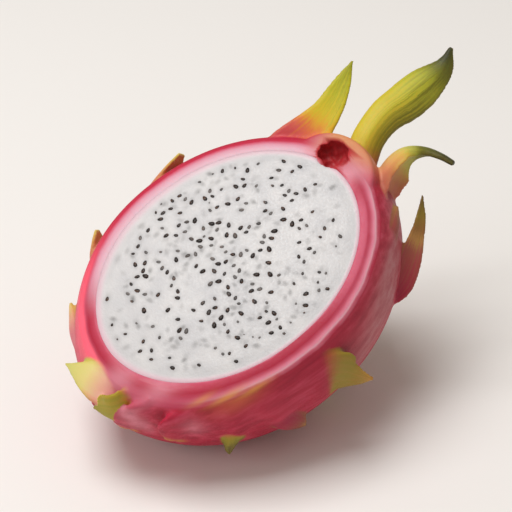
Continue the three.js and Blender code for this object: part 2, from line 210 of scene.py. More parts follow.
# Bracts: the spine from root to tip in the fruit's frame, the way across the blade, half its width at
# even steps, its thickness, how far it is cupped, its leaf colours, how dry and milky they are, how
# deep its ribs are and how far one side of it folds away, which also paints shade on that side.
BRACTS = [
    # the short upright one at the crown
    dict(spine=[(33, 25, -9), (40, 23, -6), (47, 21.6, -4), (57, 23, -2.9), (65.5, 26.3, -1.8),
                (75.7, 31.1, 0.1)],
         across=(0.6, -0.75, -0.2), half_widths=(5, 7, 7.2, 6.4, 5.1, 4.1, 2.6, 0.4), thickness=3.4,
         cup=0.12, colours=(0.0, 0.08, 0.17, 0.39, 0.5, 0.58, 0.68),
         dry=0.0, milk=0.0, ribs=0.1, fold_and_shade=0.0),
    # the long ribbed one, half folded away
    dict(spine=[(54, 3, -10), (62, 8, -7), (72, 10.7, -5.8), (80.5, 10.7, -6.2), (89, 11, -6.4),
                (98, 11.9, -6.8), (104.4, 15.2, -5.3)],
         across=(0.12, -0.95, -0.25), half_widths=(5, 5.4, 5.5, 6, 6.7, 6.2, 3.9, 0.8), thickness=3.8,
         cup=-0.2, colours=(0.42, 0.44, 0.46, 0.48, 0.53, 0.64, 0.9, 1.08),
         dry=0.0, milk=0.1, ribs=0.35, fold_and_shade=0.7),
    # the cupped one that curls over
    dict(spine=[(49.5, -8.7, -13), (55.1, -8, -11.5), (59.6, -5.6, -10.2), (64, -4.4, -9.1),
                (69, -4.5, -9.1), (73.4, -7.4, -9.4), (76, -12.5, -8.7), (77.4, -17, -9)],
         across=(0.53, 0.14, -0.97), half_widths=(4.4, 5.2, 6.6, 8.2, 8, 6, 3.6, 2.4, 1.5),
         thickness=5.2, cup=(0.9, 0.85, 0.8, 0.7, 0.6, 0.4, 0.2, 0.05, 0),
         colours=(0.1, 0.16, 0.26, 0.42, 0.78, 0.95, 1.0), dry=0.15, milk=0.45, ribs=0.1, fold_and_shade=0.0),
    # the dry one on the shoulder
    dict(spine=[(32, -30, -26), (40, -31, -25), (46.8, -28.6, -23), (54, -24.4, -20.3),
                (58.6, -21.6, -17.6), (64.6, -16.2, -14.8)],
         across=(0.6, -0.6, -0.5), half_widths=(4, 5, 4.6, 3.8, 2.7, 1.7, 0.4), thickness=2.8, cup=0.3,
         colours=(-0.1, 0.06, 0.17, 0.5, 0.8), dry=1.0, milk=0.0, ribs=0.1, fold_and_shade=0.0),
    # the folded one at the stem end
    dict(spine=[(-49.4, -14.4, -5.4), (-53, -13.6, -5.2), (-56.8, -12.5, -4.8), (-60.4, -6.8, -7.7)],
         across=(-0.4, 0.05, -0.91), half_widths=(5, 7.8, 7.6, 5.6, 3.2, 0.4), thickness=2.8, cup=0.2,
         colours=(0.3, 0.48, 0.55, 0.6), dry=0.5, milk=0.0, ribs=0.0, fold_and_shade=0.0),
]

# What a blade's surface carries for its colours: how leafy it is, its run from pink to dark green, its
# place from side to side, and how dry, milky, ribbed and folded the blade is; ribs and fold carry
# painted shade.
LEAF_LAYERS = ("leafy", "run", "side", "dry", "milk", "ribs", "fold_and_shade")
BLADE_STEPS = 36
BLADE_SIDES = 24
THINNEST = 1.1
NARROWEST = 0.44
TIP_THINNING = 0.65
LEAF_START = 0.14
RIB_WAVE = 7.5 * pi
FOLD_FROM = 0.1

# The crown's shoulder and the navel in it, as the middle and radii of an ellipsoid. The navel's
# inside is lumpy.
SHOULDER = ((45, 4, -8), (14, 16.5, 16))
NAVEL = ((49, 8, -2.4), (5.9, 5.9, 8))
NAVEL_CUT = ((48.6, 7.8, -1), (5.3, 5.3, 5.2))
NAVEL_WALL = 1.3
NAVEL_LUMPS = 0.55
NAVEL_LUMP_HEIGHT = 1.1
ELLIPSOID_SIDES = 48


def body_radius(station, inset=0.0):
    """Radius of the body round its axis, drawn in by an inset."""
    half_length = BODY_LENGTH / 2 - inset
    along = np.clip(np.abs(station) / half_length, 0, 1)
    profile = (1 - along ** PROFILE_POWER) ** (1 / PROFILE_ROUND)
    return (BODY_WIDTH / 2 - inset) * profile * (1 - STEM_FULLNESS * station / half_length)


def swelling(station, angle):
    """How far the skin swells behind the roots of the scales."""
    height = 0
    for scale in SCALES:
        root, tip = scale["way"][1], scale["way"][-1]
        radius = body_radius(root[0])
        ahead, round_it = tip[0] - root[0], arc(root[1], tip[1], radius)
        length = hypot(ahead, round_it)
        east, north = station - root[0], arc(root[1], angle, radius)
        along = (east * ahead + north * round_it) / length
        across = (east * round_it - north * ahead) / length
        away = (along / length + SWELLING_BEHIND) / SWELLING_LENGTH
        aside = across / (SWELLING_WIDTH * max(scale["half_widths"]))
        height = height + SWELLING_HEIGHT * np.exp(-away ** 2 - aside ** 2)
    return height


def reach(directions, inset=0.0):
    """Distance from the middle of the cut to the body's surface, along each direction."""
    near, far = np.zeros(len(directions)), np.full(len(directions), float(BODY_LENGTH))
    for _ in range(HALVINGS):
        middle = (near + far) / 2
        x, y, z = (directions * middle[:, None]).T
        depth = z + CUT_ABOVE_AXIS
        relief = swelling(x, np.degrees(np.arctan2(y, -depth))) if inset == 0 else 0
        inside = np.hypot(y, depth) < body_radius(x, inset) + relief
        near, far = np.where(inside, middle, near), np.where(inside, far, middle)
    return near


def cut_body(inset, columns, rows, droop, rings):
    """The body below the cut: half a ball pushed out to the surface, then closed by rings drawn
    inwards over the cut face, each given as its distance from the edge and its height."""
    body = bmesh.new()
    bmesh.ops.create_uvsphere(body, u_segments=columns, v_segments=rows * 2, radius=1)
    upper = body.verts[:] + body.edges[:] + body.faces[:]
    bmesh.ops.bisect_plane(body, geom=upper, dist=1e-5, plane_no=(0, 0, 1), clear_outer=True)
    turn, edge = body.verts.layers.float.new("turn"), body.verts.layers.float.new("edge")
    flat_ways, ways = [], []
    highest_fall = pi / 2 - droop / (BODY_WIDTH / 2)
    for vert in body.verts:
        vert[turn] = atan2(vert.co.y, vert.co.x)
        fall = atan2(hypot(vert.co.x, vert.co.y), -vert.co.z) / (pi / 2) * highest_fall
        ways.append((sin(fall) * cos(vert[turn]), sin(fall) * sin(vert[turn]), -cos(fall)))
        flat_ways.append((cos(vert[turn]), sin(vert[turn]), 0))
    far, edges = reach(np.array(ways), inset), reach(np.array(flat_ways), inset)
    for vert, way, distance, outline in zip(body.verts, ways, far, edges):
        vert.co = Vector(way) * distance
        vert[edge] = outline
    rim = [border for border in body.edges if border.is_boundary]
    for inwards, height in rings:
        grown = bmesh.ops.extrude_edge_only(body, edges=rim)["geom"]
        rim = [part for part in grown if isinstance(part, bmesh.types.BMEdge)]
        for vert in (part for part in grown if isinstance(part, bmesh.types.BMVert)):
            out = vert[edge] - inwards
            vert.co = (cos(vert[turn]) * out, sin(vert[turn]) * out, height)
    bmesh.ops.contextual_create(body, geom=rim)
    bmesh.ops.recalc_face_normals(body, faces=body.faces[:])
    return body


def curved(before, a, b, after, t):
    """A value between a and b, on a smooth curve that runs on to their neighbours."""
    return 0.5 * (2 * a + (b - before) * t + (2 * before - 5 * a + 4 * b - after) * t * t
                  + (3 * a - before - 3 * b + after) * t ** 3)


def smooth_line(points, count):
    """Points at even steps along a smooth curve through the given ones."""
    points = [Vector(point) for point in points]
    knots = [points[0] * 2 - points[1], *points, points[-1] * 2 - points[-2]]
    fine = [curved(*four, t) for four in zip(knots, knots[1:], knots[2:], knots[3:])
            for t in np.linspace(0, 1, 16, endpoint=False)]
    fine = np.array([*fine, points[-1]])
    lengths = np.concatenate([[0], np.cumsum(np.linalg.norm(np.diff(fine, axis=0), axis=1))])
    steps = np.linspace(0, lengths[-1], count)
    return [Vector(place) for place in np.array([np.interp(steps, lengths, axis) for axis in fine.T]).T]


def eased(values, run):
    """A smooth value along even steps."""
    place = run * (len(values) - 1)
    step = min(int(place), len(values) - 2)
    four = [values[min(max(step + k, 0), len(values) - 1)] for k in (-1, 0, 1, 2)]
    return curved(*four, place - step)


def grow_blade(shape, spine, across, half_widths, thickness, cup, colours, dry, milk,
               ribs=0.0, fold_and_shade=0.0, bare=0.02):
    """A leaf-like blade, extruded ring by ring along its spine and cupped across its width."""
    layers = shape.verts.layers.float
    turn, leafy, run, side_place, dryness, milky, ribbed, folded = (
        layers.get(name) or layers.new(name) for name in ("turn", *LEAF_LAYERS))
    ring = bmesh.ops.create_circle(shape, cap_ends=True, segments=BLADE_SIDES, radius=1)["verts"]
    for index, vert in enumerate(ring):
        vert[turn] = index / BLADE_SIDES * 2 * pi
        vert[dryness] = dry
        vert[milky] = milk
    line = smooth_line(spine, BLADE_STEPS)
    widest = max(half_widths)
    border = list({edge for vert in ring for edge in vert.link_edges})
    for step, middle in enumerate(line):
        along = step / (BLADE_STEPS - 1)
        if step:
            grown = bmesh.ops.extrude_edge_only(shape, edges=border)["geom"]
            border = [part for part in grown if isinstance(part, bmesh.types.BMEdge)]
            ring = [part for part in grown if isinstance(part, bmesh.types.BMVert)]
        forward = (line[min(step + 1, BLADE_STEPS - 1)] - line[max(step - 1, 0)]).normalized()
        side = Vector(across) - forward * Vector(across).dot(forward)
        side.normalize()
        face = side.cross(forward)
        half = max(eased(half_widths, along), NARROWEST)
        thick = max(thickness * (1 - TIP_THINNING * along), THINNEST)
        bend = eased(cup, along) if isinstance(cup, tuple) else cup
        ripe = min(max(3 * (along - 0.25), 0), 1, 6 * (1 - along))
        for vert in ring:
            place = cos(vert[turn])
            folded_away = fold_and_shade * max(0, place - FOLD_FROM)
            groove = ribs * (0.5 + 0.5 * cos(RIB_WAVE * place + 2 * along)) * (1 - place ** 4) * ripe
            rounded = copysign(abs(sin(vert[turn])) ** 0.5, sin(vert[turn]))
            high = rounded * (thick * 0.5 - (groove if rounded > 0 else 0))
            high += bend * (half * place ** 2 - 0.3 * widest)
            high -= folded_away * (1 - 0.5 * along) * half
            vert.co = middle + side * place * half + face * high
            vert[run] = eased(colours, along)
            vert[ribbed] = ribs * ripe
            # how far this side folds away, which the colours darken as painted shade
            vert[folded] = folded_away
            vert[side_place] = place
            vert[leafy] = min(max((along - bare) / LEAF_START, 0), 1)
    bmesh.ops.contextual_create(shape, geom=border)


def over_skin(station, angle, height):
    """A point over the skin."""
    radius = body_radius(station) + height
    return Vector((station, radius * sin(radians(angle)), -CUT_ABOVE_AXIS - radius * cos(radians(angle))))


def grow_scale(shape, way, half_widths, colours, dry, milk, bare=0.1):
    """A scale runs from a root under the skin to a free tip and curls away from the skin."""
    station, angle, _ = way[1]
    outwards = over_skin(station, angle, 5) - over_skin(station, angle, 0)
    spine = [over_skin(*point) for point in way]
    across = outwards.cross(spine[1] - spine[0])
    grow_blade(shape, spine, across, half_widths, SCALE_THICKNESS, SCALE_CUP, colours, dry, milk,
               bare=bare)


def join_in(shape, other):
    """Adds one mesh to another."""
    mesh = bpy.data.meshes.new("joined")
    other.to_mesh(mesh)
    shape.from_mesh(mesh)
    bpy.data.meshes.remove(mesh)
    other.free()


def ellipsoid(middle, radii, grow=0.0):
    """An ellipsoid, a little larger all round if asked."""
    shape = bmesh.new()
    bmesh.ops.create_uvsphere(shape, u_segments=ELLIPSOID_SIDES, v_segments=ELLIPSOID_SIDES // 2, radius=1)
    size = [radius + grow for radius in radii]
    bmesh.ops.transform(shape, matrix=Matrix.LocRotScale(middle, None, size), verts=shape.verts[:])
    return shape


def object_of(name, shape):
    """A mesh object from a bmesh, which is used up."""
    mesh = bpy.data.meshes.new(name)
    shape.to_mesh(mesh)
    shape.free()
    thing = bpy.data.objects.new(name, mesh)
    bpy.context.collection.objects.link(thing)
    return thing


def finished(thing):
    """The object's mesh with its modifiers applied, as a bmesh. The object is removed."""
    graph = bpy.context.evaluated_depsgraph_get()
    shape = bmesh.new()
    shape.from_object(thing, graph)
    bpy.data.objects.remove(thing)
    return shape


def grown_together(name, shape, voxel):
    """Overlapping closed shapes as one skin."""
    thing = object_of(name, shape)
    remesh = thing.modifiers.new("grow together", "REMESH")
    remesh.mode = "VOXEL"
    remesh.voxel_size = voxel
    return finished(thing)


def cut_away(name, shape, cutters):
    """The shape without what the cutters take off."""
    thing = object_of(name, shape)
    tools = [object_of("cutter", cutter) for cutter in cutters]
    for tool in tools:
        cut = thing.modifiers.new("cut", "BOOLEAN")
        cut.operation = "DIFFERENCE"
        cut.solver = "MANIFOLD"
        cut.object = tool
    shape = finished(thing)
    for tool in tools:
        bpy.data.objects.remove(tool)
    return shape


def thinned(name, shape, below=None):
    """The shape with no more than the most triangles. They stay where it curves, or above a height."""
    triangles = sum(len(face.verts) - 2 for face in shape.faces)
    low = [index for index, vert in enumerate(shape.verts) if below is not None and vert.co.z < below]
    thing = object_of(name, shape)
    fewer = thing.modifiers.new("fewer faces", "DECIMATE")
    fewer.ratio = min(1, MOST_TRIANGLES / triangles)
    if low:
        group = thing.vertex_groups.new(name="low")
        group.add(low, 1, "REPLACE")
        fewer.vertex_group = group.name
    return finished(thing)


def without_fins(shape):
    """Closes up needle faces, and takes off fins: faces back to back on the same corners."""
    bmesh.ops.dissolve_degenerate(shape, dist=NEEDLE, edges=shape.edges[:])
    by_corners = {}
    for face in shape.faces:
        by_corners.setdefault(frozenset(face.verts), []).append(face)
    fins = [face for faces in by_corners.values() if len(faces) > 1 for face in faces]
    bmesh.ops.delete(shape, geom=fins, context="FACES")
    loose = [vert for vert in shape.verts if not vert.link_faces]
    bmesh.ops.delete(shape, geom=loose, context="VERTS")
    return shape


def soften(shape, rounds, hollows_only=False):
    """Smooths the whole shape, or only the creases where one part grows out of another."""
    for _ in range(rounds):
        verts = shape.verts[:]
        if hollows_only:
            sharp = [edge for edge in shape.edges if edge.calc_face_angle_signed(0) < CREASE_ANGLE]
            verts = list({vert for edge in sharp for vert in edge.verts})
        bmesh.ops.smooth_vert(shape, verts=verts, factor=0.5, use_axis_x=True, use_axis_y=True,
                              use_axis_z=True)


blades = bmesh.new()
for scale in SCALES:
    grow_scale(blades, **scale)
for bract in BRACTS:
    grow_blade(blades, **bract)
bmesh.ops.recalc_face_normals(blades, faces=blades.faces[:])
leaf_surface = blades.copy()

rind = cut_body(inset=0, columns=192, rows=72, droop=EDGE_DROOP, rings=FACE_RINGS)
shoulder = ellipsoid(*SHOULDER)
everything = shoulder.verts[:] + shoulder.edges[:] + shoulder.faces[:]
sliced = bmesh.ops.bisect_plane(shoulder, geom=everything, plane_co=(0, 0, -0.2), plane_no=(0, 0, 1),
                                clear_outer=True)["geom_cut"]
sliced_edges = [part for part in sliced if isinstance(part, bmesh.types.BMEdge)]
bmesh.ops.contextual_create(shoulder, geom=sliced_edges)
join_in(rind, shoulder)
join_in(rind, blades)
rind = grown_together("rind", rind, VOXEL)
soften(rind, 8, hollows_only=True)
soften(rind, 2)

hollow = cut_body(inset=RIND_THICKNESS, columns=128, rows=24, droop=0, rings=HOLLOW_RINGS)
hollow = cut_away("hollow", hollow, [ellipsoid(*NAVEL, grow=NAVEL_WALL)])
navel = ellipsoid(*NAVEL_CUT)
for vert in navel.verts:
    lump = noise.noise(vert.co * NAVEL_LUMPS) * NAVEL_LUMP_HEIGHT
    vert.co += (vert.co - Vector(NAVEL_CUT[0])).normalized() * lump
ground = bmesh.new()
bmesh.ops.create_cube(ground, size=1)
into_fruit = (Matrix.Scale(1 / MM, 4) @ fruit_to_world).inverted()
under_floor = into_fruit @ Matrix.Translation((0, 0, -GROUND.z / 2)) @ Matrix.Diagonal((*GROUND, 1))
bmesh.ops.transform(ground, matrix=under_floor, verts=ground.verts[:])
rind = cut_away("rind", rind, [hollow, navel, ground])
rind = without_fins(thinned("rind", rind))

# Patches of the skin that differ from the rest, as [station, degrees round, half length, half width,
# strength]: golden and orange below the cut edge, dusty where the skin has dried, pale on the lobes
# with painted highlights among them, coral on the left that is brightened as painted light,
# rosy by the cut edge and the navel, peach at the crown.
PATCHES = dict(
    golden=[(-19.5, -116.6, 5.5, 0.9, 0.75), (-27.5, -119.4, 5.5, 0.9, 0.75), (-34, -123.4, 4, 0.8, 0.5)],
    orange=[(-25, -115, 8, 3.5, 0.55)],
    dusty=[(46, -120, 11, 6, 0.5), (38, -106, 14, 8, 0.8), (27, -94, 14, 7, 0.8), (16, -84, 10, 6, 0.6)],
    # the lobes' paler pink, with painted highlights among these patches
    pale=[(-51, -168, 5, 8, 0.8), (-54, -132, 2.2, 8, 0.7), (-52, -112, 2, 6, 0.6),
          (-40.5, -108, 3.2, 5, 0.55), (-43, -134, 7, 1.0, 0.9), (-37.5, -128, 4, 0.9, 0.8),
          (-36, 128, 14, 3, 0.3)],
    # the left flank's coral pink, brightened as painted light
    lit_coral=[(-44, 150, 11, 9, 1.0), (-33, 130, 14, 7, 0.8), (-50, 172, 6, 6, 0.8)],
    rosy=[(-49, -158, 6, 5, 0.6), (-40, -137, 8, 3, 0.6), (46, 150, 7, 4, 0.7), (49, -177, 5, 5, 0.9),
          (40, 158, 6, 3, 0.5)],
    peach=[(56, 170, 4.5, 8, 0.9), (52, 148, 6, 3, 0.7)],
)
DISTANCE_TO_SKIN = 1.6
BELOW_THE_RIM = 20
NAVEL_STAIN = 0.9


def patch_strength(patches, station, angle):
    """How strongly a set of patches shows at places on the skin."""
    strength = 0
    for middle, round_it, half_length, half_width, most in patches:
        across = arc(round_it, angle, np.maximum(body_radius(station), 8)) / half_width
        strength = strength + most * np.exp(-((station - middle) / half_length) ** 2 - across ** 2)
    return np.clip(strength, 0, 1)


def ramp_up(value, low, high):
    """0 below the low end, 1 above the high one, smooth between."""
    t = np.clip((value - low) / (high - low), 0, 1)
    return t * t * (3 - 2 * t)


def leaf_values(places):
    """For each place on the rind, what the nearest blade's surface carries."""
    tree = BVHTree.FromBMesh(leaf_surface)
    leaf_surface.faces.ensure_lookup_table()
    layers = [leaf_surface.verts.layers.float[name] for name in LEAF_LAYERS]
    values = np.zeros((len(places), len(layers)))
    for index, place in enumerate(places):
        near, _, face, distance = tree.find_nearest(place, DISTANCE_TO_SKIN)
        if near is None:
            continue
        corners = leaf_surface.faces[face].verts
        weights = [1 / ((corner.co - near).length + 0.05) for corner in corners]
        values[index] = [sum(weight * corner[layer] for weight, corner in zip(weights, corners))
                         / sum(weights) for layer in layers]
        values[index, 0] *= 1 - ramp_up(distance, 0.5, DISTANCE_TO_SKIN)
    return values


def keep_values(piece, **named_values):
    """Stores numbers or vectors on the piece, one for each vertex."""
    for name, values in named_values.items():
        is_vector = values.ndim == 2
        attribute = piece.data.attributes.new(name, "FLOAT_VECTOR" if is_vector else "FLOAT", "POINT")
        attribute.data.foreach_set("vector" if is_vector else "value", values.astype(np.float32).ravel())


def round_the_cut(places):
    """Each place's turn round the middle of the cut, the level direction to it and its distance."""
    turns = np.arctan2(places[:, 1], places[:, 0])
    ways = np.stack([np.cos(turns), np.sin(turns), np.zeros(len(turns))], axis=1)
    return turns, ways, np.hypot(places[:, 0], places[:, 1])


def set_down(name, shape, finish):
    """A finished piece in the world's frame, smooth shaded, with its material."""
    bmesh.ops.transform(shape, matrix=fruit_to_world, verts=shape.verts[:])
    for face in shape.faces:
        face.smooth = True
    piece = object_of(name, shape)
    piece.data.materials.append(finish)
    return piece


def new_finish(name):
    """A new material, its node tree and its surface shader."""
    material = bpy.data.materials.new(name)
    material.use_nodes = True
    return material, material.node_tree, material.node_tree.nodes["Principled BSDF"]


def node(tree, kind, settings, inputs):
    """A shader node with its settings, and its inputs as numbers or as other nodes' outputs."""
    made = tree.nodes.new("ShaderNode" + kind)
    for key, value in settings.items():
        setattr(made, key, value)
    for key, value in inputs.items():
        if isinstance(value, bpy.types.NodeSocket):
            tree.links.new(value, made.inputs[key])
        else:
            made.inputs[key].default_value = value
    return made


def paint(code):
    """A colour from its hex code, as the shaders want it."""
    parts = [int(code[place:place + 2], 16) / 255 for place in (1, 3, 5)]
    return (*[part / 12.92 if part <= 0.04045 else ((part + 0.055) / 1.055) ** 2.4 for part in parts], 1)


def stored(tree, name):
    """A number stored on the mesh."""
    return node(tree, "Attribute", {"attribute_name": name}, {}).outputs["Fac"]


def colours_along(tree, value, stops):
    """Colours by a value, as [value, colour] stops."""
    ramp = node(tree, "ValToRGB", {}, {"Fac": value})
    elements = ramp.color_ramp.elements
    while len(elements) < len(stops):
        elements.new(0.5)
    for element, (position, code) in zip(elements, stops):
        element.position = position
        element.color = paint(code)
    return ramp.outputs["Color"]


def mixed(tree, share, one, other):
    """Two colours mixed by a share of the other."""
    mix = node(tree, "Mix", {"data_type": "RGBA"}, {0: share, 6: one, 7: other})
    return mix.outputs[2]


def figured(tree, operation, one, other=0.0):
    """A sum worked out on one or two values."""
    return node(tree, "Math", {"operation": operation}, {0: one, 1: other}).outputs[0]


def times(tree, one, other):
    """Two values multiplied."""
    return figured(tree, "MULTIPLY", one, other)


def between(tree, value, low, high, least=0.0, most=1.0):
    """A value between two ends, as a share."""
    inputs = {"Value": value, "From Min": low, "From Max": high, "To Min": least, "To Max": most}
    return node(tree, "MapRange", {"interpolation_type": "SMOOTHSTEP"}, inputs).outputs["Result"]


def speckle(tree, place, scale, detail=2.0, stretch=(1, 1, 1)):
    """A cloudy noise over a place, stretched along an axis."""
    stretched = node(tree, "Mapping", {}, {"Vector": place, "Scale": stretch}).outputs[0]
    inputs = {"Vector": stretched, "Scale": scale, "Detail": detail}
    return node(tree, "TexNoise", {}, inputs).outputs["Fac"]


def place_of(tree):
    """Where a point lies in the fruit's frame, in millimetres."""
    return node(tree, "Attribute", {"attribute_name": "place"}, {}).outputs["Vector"]


def glow_inside(shader, weight, radius, scale):
    """Light that enters the piece and comes out a little further on."""
    shader.inputs["Subsurface Weight"].default_value = weight
    shader.inputs["Subsurface Radius"].default_value = radius
    shader.inputs["Subsurface Scale"].default_value = scale


def skin_colour(tree, place, streaks, rim):
    """Streaked pink, dusty where it has dried, and paler (partly painted highlights) or more orange in
    patches.
    """
    clouds = speckle(tree, place, 0.05, 3.0)
    skin = colours_along(tree, streaks, [(0.30, "#9a1230"), (0.5, "#b11f3c"), (0.72, "#c63d58")])
    skin = mixed(tree, between(tree, clouds, 0.4, 0.75, 0, 0.35), skin, paint("#cf3d55"))
    dusty = times(tree, stored(tree, "dusty"), between(tree, streaks, 0.3, 0.7, 0.45, 1))
    dusty = times(tree, dusty, between(tree, rim, 0.6, 0.85, 0.25, 1))
    skin = mixed(tree, dusty, skin, paint("#bb7579"))
    # pale patches: the lobes' paler pink, partly painted highlight
    pale = times(tree, stored(tree, "pale"), between(tree, streaks, 0.3, 0.7, 0.7, 1))
    skin = mixed(tree, pale, skin, paint("#d98594"))
    return mixed(tree, stored(tree, "orange"), skin, paint("#cf6a3c"))


def rim_colour(tree, wavy):
    """The cut edge from the flesh out: plain, in pink bands with a painted highlight, or blushing over its
    whole width.
    """
    blushing = colours_along(tree, wavy, [(0.0, "#dcbac4"), (0.13, "#dcacba"), (0.24, "#d894a6"),
                                          (0.33, "#cd6077"), (0.38, "#bf2b47"), (0.55, "#b51f3a")])
    plain = colours_along(tree, wavy, [(0.0, "#e0adb8"), (0.05, "#cf5c74"), (0.12, "#bd3550"),
                                       (0.26, "#ac1f3a"), (0.34, "#b53c54"), (0.5, "#b84059"),
                                       (0.55, "#b11f3c")])
    # the bands end in a pale painted highlight line near the outer edge, at about 0.45
    banded = colours_along(tree, wavy, [(0.0, "#e4b8c2"), (0.04, "#d06a80"), (0.08, "#b22c47"),
                                        (0.25, "#a8203b"), (0.33, "#c4566c"), (0.41, "#dc869a"),
                                        (0.45, "#e0a3b0"), (0.48, "#c86a7c"), (0.52, "#b32a44")])
    edge = mixed(tree, stored(tree, "banded"), plain, banded)
    return mixed(tree, stored(tree, "blushing"), edge, blushing)


def leaf_colour(tree):
    """Pink to gold, green and a dark tip, with fibres, a milky middle, a duller margin and painted shade.
    """
    run, side, dry = (stored(tree, name) for name in ("run", "side", "dry"))
    fibre_place = node(tree, "CombineXYZ", {}, {0: run, 1: side, 2: dry}).outputs[0]
    fibres = speckle(tree, fibre_place, 9.0, 3.0, (0.25, 1, 1))
    shifted = figured(tree, "ADD", run, between(tree, fibres, 0.2, 0.8, -0.06, 0.06))
    fresh = colours_along(tree, shifted, [(0.0, "#ca4258"), (0.13, "#d25a56"), (0.24, "#d8763f"),
                                          (0.34, "#d9a12c"), (0.43, "#cfb829"), (0.55, "#b5b126"),
                                          (0.68, "#999927"), (0.82, "#74752a"), (1.0, "#3c3d24")])
    dried = colours_along(tree, shifted, [(0.0, "#a52c45"), (0.2, "#9c5648"), (0.32, "#b0824a"),
                                          (0.44, "#94693a"), (0.6, "#86702c"), (0.8, "#6c562c"),
                                          (1.0, "#4c3c24")])
    leaves = mixed(tree, dry, fresh, dried)
    milk = colours_along(tree, run, [(0.0, "#e08c92"), (0.2, "#e4b498"), (0.4, "#dccb86"),
                                     (0.6, "#cfc875")])
    middle = between(tree, figured(tree, "ABSOLUTE", side), 0.6, 1.3, 1, 0)
    milky = times(tree, stored(tree, "milk"), between(tree, run, 0.6, 0.8, 1, 0))
    leaves = mixed(tree, times(tree, milky, middle), leaves, milk)
    # painted shade: dark lines in the rib grooves, stronger towards the side that folds away
    lined = times(tree, stored(tree, "ribs"), between(tree, side, -0.5, 0.4, 0.5, 2.2))
    painted_groove_shade = times(tree, lined, between(tree, fibres, 0.5, 0.66))
    leaves = mixed(tree, figured(tree, "MINIMUM", painted_groove_shade, 0.6), leaves, paint("#6b6418"))
    # painted shade on the side of the blade that folds away from the light
    away = times(tree, stored(tree, "fold_and_shade"), between(tree, fibres, 0.35, 0.6, 0.7, 1.6))
    leaves = mixed(tree, figured(tree, "MINIMUM", away, 0.75), leaves, paint("#6e6a22"))
    margin = between(tree, figured(tree, "ABSOLUTE", side), 0.8, 1.0, 0, 0.22)
    return mixed(tree, margin, leaves, paint("#8a7a2a"))


def rind_finish():
    """Leathery skin with a banded cut edge that carries a painted highlight, green-tipped leaves and a red
    navel.
    """
    finish, tree, shader = new_finish("dragon fruit rind")
    place, rim = place_of(tree), stored(tree, "rim")
    streaks = speckle(tree, place, 0.35, 4.0, (0.12, 1, 1))
    waves = between(tree, speckle(tree, place, 0.12, 2.0), 0.3, 0.7, -0.012, 0.012)
    wavy = figured(tree, "ADD", rim, waves)
    on_rim = between(tree, wavy, 0.5, 0.55, 1, 0)
    colour = mixed(tree, on_rim, skin_colour(tree, place, streaks, rim), rim_colour(tree, wavy))
    colour = mixed(tree, times(tree, stored(tree, "stripe"), 0.8), colour, paint("#d0617a"))
    # brighter coral on the left flank: the skin's coral pink, lifted as painted light
    lit_coral = times(tree, stored(tree, "lit_coral"), between(tree, wavy, 0.3, 0.42))
    colour = mixed(tree, lit_coral, colour, paint("#fc667c"))
    for name, code in (("rosy", "#de95a4"), ("peach", "#d08a5c"), ("golden", "#dc984a")):
        colour = mixed(tree, stored(tree, name), colour, paint(code))
    colour = mixed(tree, stored(tree, "leafy"), colour, leaf_colour(tree))
    colour = mixed(tree, stored(tree, "navel"), colour, paint("#b43036"))
    tree.links.new(colour, shader.inputs["Base Color"])

    grain = speckle(tree, place, 1.6, 3.0)
    bumps = figured(tree, "ADD", times(tree, grain, 0.4), streaks)
    bump = node(tree, "Bump", {}, {"Height": bumps, "Strength": 0.16, "Distance": 0.0006})
    tree.links.new(bump.outputs["Normal"], shader.inputs["Normal"])
    tree.links.new(between(tree, grain, 0.3, 0.7, 0.42, 0.56), shader.inputs["Roughness"])
    shader.inputs["Specular IOR Level"].default_value = 0.22
    glow_inside(shader, 0.2, (1.0, 0.35, 0.25), 0.002)
    return finish


# How far each place lies across the cut rim, from the flesh at 0 to the outer edge at a half and on
# down the outside, and how much it belongs to a stretch of the rim, to the navel or to a leaf.
places = np.array([vert.co for vert in rind.verts])
turns, ways, out = round_the_cut(places)
inner, outer = reach(ways, RIND_THICKNESS), reach(ways)
below = np.maximum(0, -EDGE_DROOP - places[:, 2])
rim_share = np.clip((out - inner) / (outer - inner), 0, 1) / 2 + below / BELOW_THE_RIM
station, depth = places[:, 0], places[:, 2] + CUT_ABOVE_AXIS
angle = np.degrees(np.arctan2(places[:, 1], -depth))
navel_reach = np.array(NAVEL_CUT[1]) + NAVEL_STAIN
in_navel = np.linalg.norm((places - np.array(NAVEL_CUT[0])) / navel_reach, axis=1)
bearing = np.degrees(turns) % 360
by_flesh = ramp_up(rim_share, 0.02, 0.07) * ramp_up(rim_share, 0.3, 0.2)
leaf_numbers = leaf_values([vert.co for vert in rind.verts])

rind_skin = set_down("rind_skin", rind, rind_finish())
keep_values(
    rind_skin, place=places, rim=rim_share,
    # the right and lower stretch of the rim, whose bands carry the painted highlight line
    banded=ramp_up(bearing, 205, 250) * ramp_up(bearing, 358, 345),
    blushing=ramp_up(bearing, 8, 20) * ramp_up(bearing, 165, 140),
    stripe=by_flesh * ramp_up(bearing, 280, 315) * ramp_up(bearing, 355, 340),
    navel=1 - ramp_up(in_navel, 0.93, 1.0),
    **{name: patch_strength(patches, station, angle) for name, patches in PATCHES.items()},
    **dict(zip(LEAF_LAYERS, leaf_numbers.T)))
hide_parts("rind")
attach(rind_skin, "root")

# ------------------------------------------------------------------------------------------------
# The flesh: white watery pulp that fills the rind up to the cut and stands a little proud of it,
# blushing pink where it meets the rind. Seeds deeper in it show through as faint grey specks.

